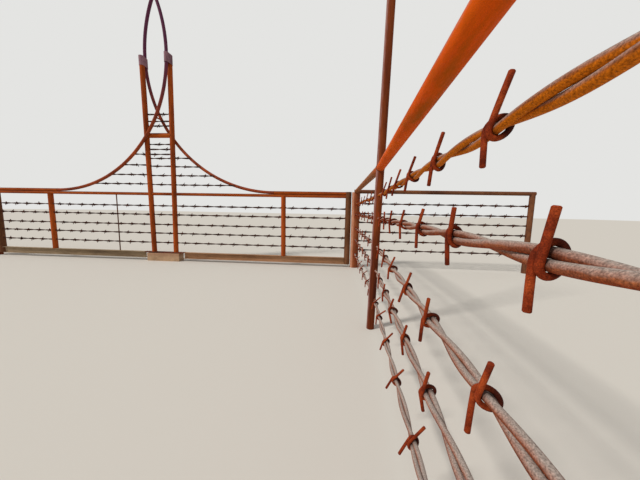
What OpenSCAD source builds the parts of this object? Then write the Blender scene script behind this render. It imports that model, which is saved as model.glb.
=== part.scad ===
// Ranch gateway of welded steel pipe.
// A long gate turns on a pivot in a concrete plinth, between two gate posts.
// Beside it stand fence panels, and a wing fence follows the drive.
// Every strand is a pair of round bars, with barbs wound from thinner bar.
// X runs along the gate, Y through it and Z up. The origin is under the pivot, at ground level.

/* [Gate] */
// Distance from the pivot to the middle of each end stile
arm_length = 4730; // [4300:10:4730]
// Distance from the pivot to the middle of each mid post
mid_post_x = 3137; // [3050:1:3500]
// Distance from the pivot to the middle of each tower post at its foot
tower_foot_half = 297; // [280:1:320]
// The same distance at the posts' heads, where they lean apart
tower_head_half = 356; // [330:1:380]
// Height of the upper edge of the gate's top rail
rail_top = 1830; // [1780:5:1900]
// Height of the two tower posts
tower_height = 5000; // [4800:10:5200]
// Height of the middle of the tower's crossbar
crossbar_z = 3155; // [3130:5:3180]
// Lower edge of the bottom beams above the ground
beam_clearance = 72; // [50:1:90]

/* [Arches] */
// Radius to which both arch pipes are rolled
arch_radius = 3260; // [3250:1:3290]
// Distance from the pivot to the place where an arch leaves the rail
arch_start = 2896; // [2890:1:2905]

/* [Stock] */
// Outer diameter of the rail and arch pipe
rail_d = 73; // [70:0.5:76]
// Outer diameter of the tower posts, mid posts and crossbar
post_d = 114.3; // [110:0.1:120]
// Outer diameter of the end stiles
stile_d = 139.7; // [120:0.1:142]
// Outer diameter of the two gate posts
gate_post_d = 193.7; // [170:0.1:200]
// Outer diameter of the fence rails and of the tall pole
fence_pipe_d = 88.9; // [80:0.1:95]
// Height of the section of the bottom beams
beam_h = 154; // [140:1:160]
// Width of the flanges of the bottom beams
beam_w = 102; // [90:1:110]

/* [Strands] */
// Diameter of each of the two bars of a strand
bar_d = 20; // [16:0.5:22]
// Diameter of the bar that the barbs are wound from
barb_d = 15; // [12:0.5:18]
// Distance from the strand's middle to the tip of a barb
barb_reach = 95; // [80:1:105]
// Distance between barbs on the wing fence
wing_pitch = 400; // [360:5:440]
// Distance between barbs on the gate and the panels
gate_pitch = 325; // [300:5:350]

/* [Fence] */
// Distance from the pivot to the middle of each gate post
gate_post_x = 4909; // [4905:1:4930]
// Length of each fence panel beside the gate
panel_length = 3988; // [3600:1:4200]
// Height of the middle of the fence rails
fence_rail_z = 1845; // [1800:5:1880]
// Length of each bay of the wing fence
wing_bay = 3286; // [3000:1:3600]
// Outward slant of the bay next to the gate, in degrees
far_slant = 0.89; // [0:0.01:1.5]
// Inward slant of the bay after the tall pole, in degrees
near_slant = 2.48; // [1:0.01:3]
// Height of the tall pole
pole_height = 4200; // [3600:10:4500]
// Lean of the tall pole along X, in degrees
pole_lean = 1.1; // [0:0.1:1.5]

/* [Plinth] */
// Length of the concrete plinth
plinth_l = 860; // [820:1:880]
// Depth of the concrete plinth
plinth_w = 200; // [190:1:250]
// Height of the concrete plinth
plinth_h = 200; // [190:1:202]
// Diameter of the pivot pin
pin_d = 60; // [50:1:70]

/* [Hidden] */

rust = "#a2522b";
dark_rust = "#6e3d2a";
bright_rust = "#b85a26";
beam_brown = "#76503f";
concrete = "#b59a80";

rail_r = rail_d / 2;
post_r = post_d / 2;
bar_r = bar_d / 2;
// Gap left where two pipes of one diameter meet, so that the cut edge stays a clean loop
fit_gap = 0.2;

upper_rail_z = rail_top - rail_r;
lower_rail_z = upper_rail_z - rail_d;
beam_top = beam_clearance + beam_h;
beam_inner_x = plinth_l / 2 + 100;
flange_t = 7;
web_t = 6;

plate_t = 18;
plate_w = 140;
socket_d = pin_d + 30;
socket_flange_d = 150;
socket_flange_t = 6;
// Concrete left under the pin's socket
socket_floor = 50;
pin_play = 0.05;

// Place and lean of the tower posts
tower_slope = (tower_head_half - tower_foot_half) / (tower_height - beam_top);
tower_lean = atan(tower_slope);
function tower_x(z) = tower_foot_half + (z - beam_top) * tower_slope;
// Gap between the tower posts and the ends of the strands, which stay level where the posts lean
tower_gap = 1;

arch_z = upper_rail_z + arch_radius;
// Turn of each arch in plan, so that its pipe lies on the face of the first tower post that it meets
arch_turn = asin((post_r + rail_r + 0.3) / (arch_start - tower_x(crossbar_z)));
// Angle up the arch's circle at which the two pipes cross above the loop
arch_end = acos(arch_start / arch_radius);
arch_past_end = 1.2;
crossing_rise = sqrt(pow(arch_radius, 2) - pow(arch_start, 2));

gate_strand_z = [471, 716, 941, 1196, 1421];
left_arch_strand_z = [1970, 2200, 2440, 2700];
right_arch_strand_z = [1950, 2180, 2400, 2610];
tower_strand_z = [1955, 2180, 2410, 2600, 2700, 2820, 2940, 3380, 3490, 3655];
panel_strand_z = [440, 660, 880, 1110, 1325, 1560];
wing_strand_z = [351, 698, 966, 1291, 1540];

// Place of the first barb of each strand, from the start of its bay
gate_phase = [200, 120, 260, 60, 180];
panel_phase = [90, 230, 150, 290, 110, 200];
wing_phase = [150, 370, 270, 50, 280];
// Place of the one barb on each strand of the tower, as a share of the gap between the posts
gate_barb_share = [0.69, 0.84, 0.73, 0.38, 0.52];
tower_barb_share = [0.49, 0.6, 0.33, 0.53, 0.25, 0.83, 0.48, 0.5, 0.3, 0.75];

far_angle = -90 + far_slant;
near_angle = -90 - near_slant;
far_start = [gate_post_x, 0];
pole_at = far_start + wing_bay * [cos(far_angle), sin(far_angle)];
wing_end = pole_at + wing_bay * [cos(near_angle), sin(near_angle)];

// Upright pipe with its foot at height z0
module upright(d, z0, z1) {
    translate([0, 0, z0])
        cylinder(d = d, h = z1 - z0, $fn = 64);
}

// Level pipe along X from x0 to x1
module level_pipe(d, x0, x1, z) {
    translate([x0, 0, z])
        rotate([0, 90, 0])
            cylinder(d = d, h = x1 - x0, $fn = 48);
}

// Puts a bay of fence that is drawn along +X in its place
module along(start, angle) {
    translate([start[0], start[1], 0])
        rotate([0, 0, angle])
            children();
}

// Two straight bars, one above the other
module straight_pair(x0, x1, z) {
    for (s = [-1, 1])
        level_pipe(bar_d, x0, x1, z + s * (bar_r + fit_gap / 2));
}

// Half of a barb: a leg that goes up the drive side of the strand, over the top and down behind it
module hook() {
    coil_r = bar_d + barb_d / 2 + fit_gap;
    turn_advance = 1.06 * barb_d;
    translate([-turn_advance / 4, 0, 0])
        rotate([0, 0, -asin(turn_advance / 4 / coil_r)]) {
            translate([0, 0, fit_gap])
                rotate([90, 0, 90])
                    rotate_extrude(angle = 180, $fn = 48)
                        translate([coil_r, 0])
                            circle(d = barb_d, $fn = 24);
            translate([0, -coil_r, -barb_reach])
                cylinder(d = barb_d, h = barb_reach + fit_gap, $fn = 24);
        }
}

// Barb wound one full turn from two hooks, the second one upside down and welded on behind the strand
module wound_barb() {
    for (half_turn = [0, 180])
        rotate([0, half_turn, 0])
            hook();
}

// A row of barbs that keeps clear of both ends of its span, and of a stay at stay_x
module barb_row(x0, x1, z, first, stay_x = 0) {
    margin = 45;
    stay_margin = 60;
    for (x = [x0 + first : gate_pitch : x1 - margin])
        if (x > x0 + margin && abs(x - stay_x) > stay_margin)
            translate([x, 0, z])
                wound_barb();
}

// A strand of the wing fence: its two bars make half a turn from barb to barb
module twisted_strand(x0, x1, z, first) {
    steps_per_turn = 8;
    bar_sides = 8;
    half_turns = (x1 - x0) / wing_pitch;
    translate([x0, 0, z])
        rotate([90, 0, 90])
            linear_extrude(x1 - x0, twist = 180 * half_turns, slices = ceil(half_turns * steps_per_turn / 2),
                           segments = bar_sides)
                rotate(90 + 180 * (first - x0) / wing_pitch)
                    for (s = [-1, 1])
                        translate([s * (bar_r + fit_gap / 2), 0])
                            circle(d = bar_d, $fn = bar_sides);
}

// Room for the lean of the tall pole, where the wing's level strands meet it
pole_gap = 2;
// Free length of each bay of the wing fence, between the faces of its posts
far_free = [gate_post_d / 2, wing_bay - fence_pipe_d / 2 - pole_gap];
near_free = [fence_pipe_d / 2 + pole_gap, wing_bay - post_r];

module wing_bay_strands(free) {
    for (i = [0 : len(wing_strand_z) - 1])
        twisted_strand(free[0], free[1], wing_strand_z[i], wing_phase[i]);
}

module wing_bay_barbs(free) {
    margin = 60;
    for (i = [0 : len(wing_strand_z) - 1])
        for (x = [wing_phase[i] : wing_pitch : free[1] - margin])
            if (x > free[0] + margin)
                translate([x, 0, wing_strand_z[i]])
                    wound_barb();
}

// Distance from the pivot to an arch pipe's middle at height z, and how far it stands off the middle plane
function arch_x(z) = arch_start - sqrt(pow(arch_radius, 2) - pow(arch_z - z, 2));
function arch_y(z) = (arch_start - arch_x(z)) * tan(arch_turn);

// Outer face of a tower post at height z
function tower_face(z) = tower_x(z) + post_r + tower_gap;

function arch_span_length(z) = arch_x(z) - tower_face(z);

// Puts a strand drawn along +X from the face of a tower post to the near side of the right arch pipe
module arch_span(z) {
    weld_gap = 2;
    y1 = arch_y(z) - rail_r - bar_r - weld_gap;
    translate([tower_face(z), 0, 0])
        rotate([0, 0, atan2(y1, arch_span_length(z))])
            children();
}

module right_arch_span_strands(heights) {
    overhang = 10;
    for (z = heights)
        arch_span(z)
            straight_pair(0, arch_span_length(z) + overhang, z);
}

module right_arch_span_barbs(heights) {
    pipe_clearance = 130;
    for (i = [0 : len(heights) - 1])
        arch_span(heights[i])
            barb_row(0, arch_span_length(heights[i]) - pipe_clearance, heights[i], gate_phase[i]);
}

// Arch on the right-hand side, whose pipe lies on the back of the tower posts
module arch() {
    translate([arch_start, 0, arch_z])
        rotate([0, 0, -arch_turn])
            rotate([90, 0, 180])
                rotate([0, 0, -90])
                    rotate_extrude(angle = 90 + arch_end + arch_past_end, $fn = 200)
                        translate([arch_radius, 0])
                            circle(d = rail_d, $fn = 40);
}

// Pipe of diameter d on the leaning line of a tower post, from its foot up
module tower_pipe(side, d, length) {
    translate([side * tower_foot_half, 0, beam_top])
        rotate([0, side * tower_lean, 0])
            translate([0, 0, -d])
                cylinder(d = d, h = length + d, $fn = 64);
}

// Upright cutters where the end stiles stand
module stile_cutters() {
    for (s = [-1, 1])
        translate([s * arm_length, 0, 0])
            upright(stile_d, 0, rail_top + 100);
}

module plinth() {
    chamfer = 15;
    x = plinth_w / 2;
    color(concrete)
        difference() {
            rotate([90, 0, 90])
                linear_extrude(plinth_l, center = true)
                    polygon([[-x, 0], [x, 0], [x, plinth_h - chamfer], [x - chamfer, plinth_h],
                             [chamfer - x, plinth_h], [-x, plinth_h - chamfer]]);
            translate([0, 0, socket_floor])
                cylinder(d = socket_d, h = plinth_h, $fn = 64);
        }
}

module pivot_socket() {
    color(dark_rust)
        difference() {
            union() {
                upright(socket_d, socket_floor, plinth_h);
                upright(socket_flange_d, plinth_h, plinth_h + socket_flange_t);
            }
            upright(pin_d + 2 * pin_play, 0, 2 * plinth_h);
        }
}

module pivot_pin() {
    color(dark_rust)
        upright(pin_d, socket_floor + 10, beam_top - plate_t);
}

module foot_plate() {
    color(dark_rust)
        translate([-beam_inner_x, -plate_w / 2, beam_top - plate_t])
            cube([2 * beam_inner_x, plate_w, plate_t]);
}

module beam_profile() {
    w = beam_w / 2;
    t = web_t / 2;
    z0 = beam_clearance;
    polygon([[-w, z0], [w, z0], [w, z0 + flange_t], [t, z0 + flange_t],
             [t, beam_top - flange_t], [w, beam_top - flange_t], [w, beam_top],
             [-w, beam_top], [-w, beam_top - flange_t], [-t, beam_top - flange_t],
             [-t, z0 + flange_t], [-w, z0 + flange_t]]);
}

module beam(side) {
    outer_x = arm_length - sqrt(pow(stile_d / 2, 2) - pow(beam_w / 2, 2));
    color(beam_brown)
        difference() {
            mirror([side < 0 ? 1 : 0, 0, 0])
                translate([beam_inner_x, 0, 0])
                    rotate([90, 0, 90])
                        linear_extrude(outer_x - beam_inner_x)
                            beam_profile();
            translate([side * arm_length, 0, 0])
                upright(stile_d, 0, rail_top);
        }
}

module tower_post(side) {
    color(rust)
        difference() {
            tower_pipe(side, post_d, tower_height - beam_top);
            translate([side * tower_foot_half - post_d, -post_d, beam_top - 2 * post_d])
                cube(2 * post_d);
        }
}

module tower_crossbar() {
    color(bright_rust)
        difference() {
            level_pipe(post_d, -tower_x(crossbar_z), tower_x(crossbar_z), crossbar_z);
            for (s = [-1, 1])
                tower_pipe(s, post_d + 2 * fit_gap, tower_height - beam_top);
        }
}

// Outline round the head of the left tower post, at the origin, and the arch pipe that rises behind it
module collar_outline(pipe_place, post_room, pipe_room) {
    hull() {
        circle(r = post_r + post_room, $fn = 48);
        translate(pipe_place)
            circle(r = rail_r + pipe_room, $fn = 32);
    }
}

// Bent plates that bind each head of the tower to the loop's pipe beside it
module tower_collars() {
    collar_h = 220;
    collar_t = 6;
    // Room inside for the pipe, which still leans a little there
    pipe_room = 9;
    middle_z = tower_height - collar_h / 2;
    pipe_place = [tower_x(middle_z) + arch_x(middle_z), arch_y(middle_z)];
    color(dark_rust)
        for (turn = [0, 180])
            rotate([0, 0, turn])
                translate([-tower_foot_half, 0, beam_top])
                    rotate([0, -tower_lean, 0])
                        translate([0, 0, tower_height - beam_top - collar_h])
                            linear_extrude(collar_h)
                                difference() {
                                    collar_outline(pipe_place, collar_t, pipe_room + collar_t);
                                    collar_outline(pipe_place, 2 * fit_gap, pipe_room);
                                }
}

module lower_rail() {
    color(bright_rust)
        difference() {
            level_pipe(rail_d, -arm_length, arm_length, lower_rail_z);
            stile_cutters();
            for (s = [-1, 1])
                tower_pipe(s, post_d, rail_top);
        }
}

module upper_rails() {
    color(bright_rust)
        for (s = [-1, 1])
            difference() {
                if (s > 0)
                    level_pipe(rail_d, arch_start + 3, arm_length, upper_rail_z);
                else
                    level_pipe(rail_d, -arm_length, -arch_start - 3, upper_rail_z);
                stile_cutters();
            }
}

module right_arch() {
    color(rust)
        arch();
}

module left_arch() {
    color(rust)
        rotate([0, 0, 180])
            arch();
}

// Short pipes that hold the two arch pipes apart where they cross, low down and at the top
module arch_ties() {
    tie_d = 33.7;
    weld_gap = 0.8;
    half = arch_start * tan(arch_turn) - rail_r - weld_gap;
    color(rust)
        for (s = [-1, 1])
            translate([0, half, arch_z + s * crossing_rise])
                rotate([90, 0, 0])
                    cylinder(d = tie_d, h = 2 * half, $fn = 40);
}

// Post whose top is cut to sit under a level pipe at height z
module coped_post(d, z0, pipe_d, z) {
    // Distance that the tips of the cut stay below the pipe's middle
    tip_drop = 12;
    difference() {
        upright(d, z0, z - tip_drop);
        level_pipe(pipe_d + 2 * fit_gap, -d, d, z);
    }
}

module mid_post(side) {
    color(bright_rust)
        translate([side * mid_post_x, 0, 0])
            coped_post(post_d, beam_top, rail_d, lower_rail_z);
}

module end_stile(side) {
    color(dark_rust)
        translate([side * arm_length, 0, 0])
            upright(stile_d, beam_clearance, rail_top);
}

// Distance from the pivot to the thin stay on the left
left_stay_x = 1285;

// Thin bar welded to the back of the strands
module left_stay() {
    stay_d = 25.4;
    color(dark_rust)
        difference() {
            translate([-left_stay_x, bar_r + stay_d / 2 + 2 * fit_gap, 0])
                upright(stay_d, beam_top, lower_rail_z);
            level_pipe(rail_d + 2 * fit_gap, -left_stay_x - stay_d, -left_stay_x + stay_d, lower_rail_z);
        }
}

// Free spans between the gate's posts at height z, from the pivot outwards
function gate_spans(z) = [
    [tower_face(z), mid_post_x - post_r],
    [mid_post_x + post_r, arm_length - stile_d / 2],
];

module right_side_strands() {
    for (z = gate_strand_z)
        for (s = gate_spans(z))
            straight_pair(s[0], s[1], z);
}

module right_side_barbs(stay_x) {
    for (i = [0 : len(gate_strand_z) - 1])
        for (s = gate_spans(gate_strand_z[i]))
            barb_row(s[0], s[1], gate_strand_z[i], gate_phase[i], stay_x);
}

module right_gate_strands() {
    color(dark_rust)
        right_side_strands();
}

module left_gate_strands() {
    color(dark_rust)
        mirror([1, 0, 0])
            right_side_strands();
}

module right_arch_strands() {
    color(dark_rust)
        right_arch_span_strands(right_arch_strand_z);
}

module left_arch_strands() {
    color(dark_rust)
        rotate([0, 0, 180])
            right_arch_span_strands(left_arch_strand_z);
}

module right_gate_barbs() {
    color(rust) {
        right_side_barbs(0);
        right_arch_span_barbs(right_arch_strand_z);
    }
}

module left_gate_barbs() {
    color(rust) {
        mirror([1, 0, 0])
            right_side_barbs(left_stay_x);
        rotate([0, 0, 180])
            right_arch_span_barbs(left_arch_strand_z);
    }
}

// Heights of the tower's strands, with the share of the gap at which each one's barb sits
tower_heights = concat(gate_strand_z, tower_strand_z);
tower_shares = concat(gate_barb_share, tower_barb_share);
function tower_inner(z) = tower_x(z) - post_r - tower_gap;

module tower_strands() {
    color(dark_rust)
        for (z = tower_heights)
            straight_pair(-tower_inner(z), tower_inner(z), z);
}

module tower_barbs() {
    color(rust)
        for (i = [0 : len(tower_heights) - 1])
            translate([tower_inner(tower_heights[i]) * (2 * tower_shares[i] - 1), 0, tower_heights[i]])
                wound_barb();
}

// The gate posts reach up beside the fence rails that are let into their tops
module gate_post(side) {
    post_top = fence_rail_z - 20;
    notch_d = fence_pipe_d + 2 * fit_gap;
    color(rust)
        difference() {
            translate([side * gate_post_x, 0, 0])
                upright(gate_post_d, 0, post_top);
            if (side > 0) {
                on_right() level_pipe(notch_d, -fence_pipe_d / 2, gate_post_d, fence_rail_z);
                along(far_start, far_angle) level_pipe(notch_d, 0, gate_post_d, fence_rail_z);
            } else {
                on_left() level_pipe(notch_d, -fence_pipe_d / 2, gate_post_d, fence_rail_z);
            }
        }
}

// Panel pieces are drawn along +X from the middle of their gate post
module panel_rail() {
    level_pipe(fence_pipe_d, -fence_pipe_d / 2 + fit_gap, panel_length + post_r, fence_rail_z);
}

module panel_strands() {
    for (z = panel_strand_z)
        straight_pair(gate_post_d / 2, panel_length - post_r, z);
}

module panel_barbs() {
    for (i = [0 : len(panel_strand_z) - 1])
        barb_row(gate_post_d / 2, panel_length - post_r, panel_strand_z[i], panel_phase[i]);
}

module panel_post() {
    translate([panel_length, 0, 0])
        coped_post(post_d, 0, fence_pipe_d, fence_rail_z);
}

module on_right() {
    translate([gate_post_x, 0, 0])
        children();
}

module on_left() {
    mirror([1, 0, 0])
        on_right()
            children();
}

// Pipe of diameter d on the leaning line of the tall pole, which crosses its plumb line at the rail
module pole_pipe(d) {
    translate([pole_at[0], pole_at[1], fence_rail_z])
        rotate([0, pole_lean, 0])
            translate([0, 0, -fence_rail_z - d])
                cylinder(d = d, h = pole_height + d, $fn = 64);
}

module wing_rails() {
    color(bright_rust)
        difference() {
            union() {
                along(far_start, far_angle)
                    level_pipe(fence_pipe_d, 0, wing_bay, fence_rail_z);
                along(pole_at, near_angle)
                    level_pipe(fence_pipe_d, 0, wing_bay + post_r, fence_rail_z);
            }
            pole_pipe(fence_pipe_d + 2 * fit_gap);
            on_right()
                level_pipe(fence_pipe_d + 2 * fit_gap, -gate_post_d, gate_post_d, fence_rail_z);
        }
}

module wing_pole() {
    foot_cut = 4 * fence_pipe_d;
    color(rust)
        difference() {
            pole_pipe(fence_pipe_d);
            translate([pole_at[0] - foot_cut / 2, pole_at[1] - foot_cut / 2, -foot_cut])
                cube(foot_cut);
        }
}

module wing_end_post() {
    color(rust)
        along(wing_end, near_angle)
            coped_post(post_d, 0, fence_pipe_d, fence_rail_z);
}

plinth();
pivot_socket();
gate_post(1);  // right_gate_post
gate_post(-1);  // left_gate_post
color(rust) on_right() panel_rail();  // right_panel_rail
color(rust) on_right() panel_post();  // right_panel_post
color(dark_rust) on_right() panel_strands();  // right_panel_strands
color(rust) on_right() panel_barbs();  // right_panel_barbs
color(rust) on_left() panel_rail();  // left_panel_rail
color(rust) on_left() panel_post();  // left_panel_post
color(dark_rust) on_left() panel_strands();  // left_panel_strands
color(rust) on_left() panel_barbs();  // left_panel_barbs
wing_rails();
wing_pole();
wing_end_post();
color(dark_rust) along(far_start, far_angle) wing_bay_strands(far_free);  // wing_strands_far
color(dark_rust) along(pole_at, near_angle) wing_bay_strands(near_free);  // wing_strands_near
color(rust) along(far_start, far_angle) wing_bay_barbs(far_free);  // wing_barbs_far
color(rust) along(pole_at, near_angle) wing_bay_barbs(near_free);  // wing_barbs_near
pivot_pin();
foot_plate();
beam(-1);  // left_beam
beam(1);  // right_beam
tower_post(-1);  // left_tower_post
tower_post(1);  // right_tower_post
tower_crossbar();
tower_collars();
lower_rail();
upper_rails();
left_arch();
right_arch();
arch_ties();
mid_post(-1);  // left_mid_post
mid_post(1);  // right_mid_post
end_stile(-1);  // left_end_stile
end_stile(1);  // right_end_stile
left_stay();
left_gate_strands();
right_gate_strands();
tower_strands();
left_arch_strands();
right_arch_strands();
left_gate_barbs();
right_gate_barbs();
tower_barbs();
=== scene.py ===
# %% [markdown]
# # A ranch gateway of rusted pipe
# A long gate of welded pipe turns under a looped tower, and a wing fence with giant barbs follows
# the drive. The solids of posts, rails and arches come from the CAD model, so this script never
# moves them. It gives them their rust, and it makes the pieces whose shape is mostly craft:
# twisted bars, wound barbs and welds. Everything is in metres, with +X along the gate and +Z up.

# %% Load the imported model
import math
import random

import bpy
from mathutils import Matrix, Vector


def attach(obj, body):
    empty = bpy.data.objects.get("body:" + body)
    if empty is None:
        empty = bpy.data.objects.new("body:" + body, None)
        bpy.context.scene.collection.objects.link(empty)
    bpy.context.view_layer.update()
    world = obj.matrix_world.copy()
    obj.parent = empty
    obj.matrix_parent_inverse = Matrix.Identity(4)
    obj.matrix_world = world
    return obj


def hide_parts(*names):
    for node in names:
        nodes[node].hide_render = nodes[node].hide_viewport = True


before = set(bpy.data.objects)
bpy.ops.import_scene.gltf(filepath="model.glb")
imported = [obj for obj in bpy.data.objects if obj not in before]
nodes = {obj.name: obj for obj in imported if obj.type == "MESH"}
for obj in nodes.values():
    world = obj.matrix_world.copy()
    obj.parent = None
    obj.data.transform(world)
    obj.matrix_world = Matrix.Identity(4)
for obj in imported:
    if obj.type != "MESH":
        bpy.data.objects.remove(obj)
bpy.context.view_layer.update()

# %% [markdown]
# Small differences between barbs and welds come from Python's random numbers. Each set of bars
# gets a seed of its own, so every run gives the same object, and a change to one set leaves
# the others as they are.

scene = bpy.context.scene

# %% [markdown]
# ## Camera
# The photograph was taken with a very wide lens, close to the wing fence and at chest height.
# Its place and turn were fitted to the corners and pipe edges that can be found in the picture.
# A 36 mm wide sensor with a 14 mm lens gives the same 104 degree view.
# A camera could also be aimed with a Track To constraint, but it would lose the slight tilt of the
# horizon, so the three axes of the camera are worked out and written as a matrix.

# %% Camera
CAMERA_PLACE = Vector((4.5315, -6.1399, 1.3567))
YAW, PITCH, ROLL = 0.0769, -0.114, 0.0194  # radians
forward = Vector((
    -math.sin(YAW) * math.cos(PITCH), math.cos(YAW) * math.cos(PITCH), math.sin(PITCH)))
level_right = Vector((math.cos(YAW), math.sin(YAW), 0.0))
level_up = level_right.cross(forward)
right = level_right * math.cos(ROLL) + level_up * math.sin(ROLL)
up = level_up * math.cos(ROLL) - level_right * math.sin(ROLL)
axes = Matrix((right, up, -forward)).transposed().to_4x4()

camera_data = bpy.data.cameras.new("drive_camera")
camera_data.sensor_width = 36.0
camera_data.lens = 14.06
camera_data.clip_start = 0.02
camera_data.clip_end = 500.0
camera = bpy.data.objects.new("drive_camera", camera_data)
camera.matrix_world = Matrix.Translation(CAMERA_PLACE) @ axes
scene.collection.objects.link(camera)
scene.camera = camera
print("camera at", [round(v, 3) for v in CAMERA_PLACE])

# %% [markdown]
# ## Colours and node helpers
# Colours are written as sRGB hex values, the way a paint chart or a colour picker gives them.
# Blender's shaders want linear values, so one function turns them, by the sRGB standard's curve.
# More helpers keep every material short: one adds a node with its settings and links, one turns
# a real size in millimetres into a texture scale for coordinates in metres, and one makes
# a material with no nodes yet.

# %% Helpers for materials
def linear(hex_colour):
    channels = [int(hex_colour[i:i + 2], 16) / 255 for i in (1, 3, 5)]
    return tuple(c / 12.92 if c <= 0.04045 else ((c + 0.055) / 1.055) ** 2.4
                 for c in channels) + (1.0,)


def add(material, kind, inputs=None, **settings):
    node = material.node_tree.nodes.new(kind)
    for name, value in settings.items():
        setattr(node, name, value)
    for key, value in (inputs or {}).items():
        if isinstance(value, bpy.types.NodeSocket):
            material.node_tree.links.new(value, node.inputs[key])
        else:
            node.inputs[key].default_value = value
    return node


def scale_for(size_mm):
    return 1000.0 / size_mm


def empty_material(name):
    material = bpy.data.materials.new(name)
    material.use_nodes = True
    material.node_tree.nodes.clear()
    return material


print("a 24 mm spot has a texture scale of", round(scale_for(24), 1))

# %% [markdown]
# ## Rust on bare steel
# All of the steel was put up bare and has rusted for years in dry air.
# Three kinds of place take a tone of their own. A side that faces a direction gets it by how far
# the normal turns towards that direction, with a ragged edge from the noise; some of these tones
# are weathering and some are painted light on a lit side or top. Drift changes the tone along an
# axis. Painted shade follows a value that the mesh carries: a nearly black tone at the back of a
# barb's coil and on the bars beside it, where shadow falls.
# Each could be painted by hand, but masks worked out from the shape fit every piece alike.

# %% Masks for the tones of single places
UP, DOWN, WEST = (0.0, 0.0, 1.0), (0.0, 0.0, -1.0), (-1.0, 0.0, 0.0)
NOISE_SUM_MEAN = 1.0  # two noises of 0.5 on average
DRIFT_SHARE = 0.9


def tone_masks(material, place, spots, clouds, weather_and_light, drift, painted_shade):
    masks = []
    for tone, direction, start, end, share in weather_and_light:
        facing = add(material, "ShaderNodeNewGeometry")
        turned = add(material, "ShaderNodeVectorMath", {
            0: facing.outputs["Normal"], 1: direction}, operation="DOT_PRODUCT")
        uneven = add(material, "ShaderNodeMath", {0: spots, 1: clouds}, operation="ADD")
        ragged = add(material, "ShaderNodeMath", {
            0: uneven.outputs["Value"], 1: turned.outputs["Value"]}, operation="ADD")
        mask = add(material, "ShaderNodeMapRange", {
            "Value": ragged.outputs["Value"], "From Min": start + NOISE_SUM_MEAN,
            "From Max": end + NOISE_SUM_MEAN, "To Min": 0.0, "To Max": share})
        masks.append((mask.outputs["Result"], tone))
    if drift:
        tone, axis, start, end = drift
        along = add(material, "ShaderNodeSeparateXYZ", {"Vector": place})
        mask = add(material, "ShaderNodeMapRange", {
            "Value": along.outputs[axis], "From Min": start, "From Max": end,
            "To Min": 0.0, "To Max": DRIFT_SHARE})
        masks.append((mask.outputs["Result"], tone))
    # Painted shade: a darkening where shadow falls, carried by the mesh.
    if painted_shade:
        shade_mark = add(material, "ShaderNodeAttribute", attribute_name="painted_shade")
        masks.append((shade_mark.outputs["Fac"], painted_shade))
    return masks


print("tones can face", UP, DOWN, "or", WEST)

# %% [markdown]
# Rust is a layer of iron oxide: it isn't a metal any more to the eye, so metallic stays at 0,
# the IOR is that of a common dielectric, and roughness is high, lower only where rain has washed
# the pipe smooth. The crust is porous and swallows most of its shine, so the specular level is
# far less than the usual one. Its real grains are well under a millimetre, and they are drawn
# at 1.6 to 3.2 mm so that they show. Displacement would need a very fine mesh, so a bump does it.

# %% Crust of the rust
SMOOTHEST, ROUGHEST = 0.64, 0.90
GRAIN_DARKENS, GRAIN_LIGHTENS = 0.62, 0.38
CRUST_HEIGHT = 0.0012


def crusted(material, colour, spots, grain, crust, grit):
    grain_mask = add(material, "ShaderNodeMapRange", {
        "Value": grain, "From Min": 0.35, "From Max": 0.68,
        "To Min": 1.0 - GRAIN_DARKENS * grit, "To Max": 1.0 + GRAIN_LIGHTENS * grit})
    grained = add(material, "ShaderNodeMix", {
        "Factor": 1.0, "A": colour, "B": grain_mask.outputs["Result"]},
        data_type="RGBA", blend_type="MULTIPLY")
    dryness = add(material, "ShaderNodeMapRange", {
        "Value": spots, "From Min": 0.35, "From Max": 0.65,
        "To Min": SMOOTHEST, "To Max": ROUGHEST})
    relief = add(material, "ShaderNodeMath", {0: spots, 1: grain}, operation="ADD")
    bump = add(material, "ShaderNodeBump", {
        "Height": relief.outputs["Value"], "Strength": crust, "Distance": CRUST_HEIGHT})
    surface = add(material, "ShaderNodeBsdfPrincipled", {
        "Base Color": grained.outputs["Result"], "Roughness": dryness.outputs["Result"],
        "Metallic": 0.0, "IOR": 1.5, "Specular IOR Level": 0.08,
        "Normal": bump.outputs["Normal"]})
    add(material, "ShaderNodeOutputMaterial", {"Surface": surface.outputs["BSDF"]})


print("roughness from", SMOOTHEST, "to", ROUGHEST)

# %% [markdown]
# Under the crust the colour has two scales. Broad clouds of orange and brown come from how water
# ran and dried, and spots of 8 to 24 mm are where old mill scale came off. Long streaks follow
# the pipe, because water runs down an upright and along a level pipe.
# One function makes all the rusted steels, because they differ only in tones, streaks and crust.

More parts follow.
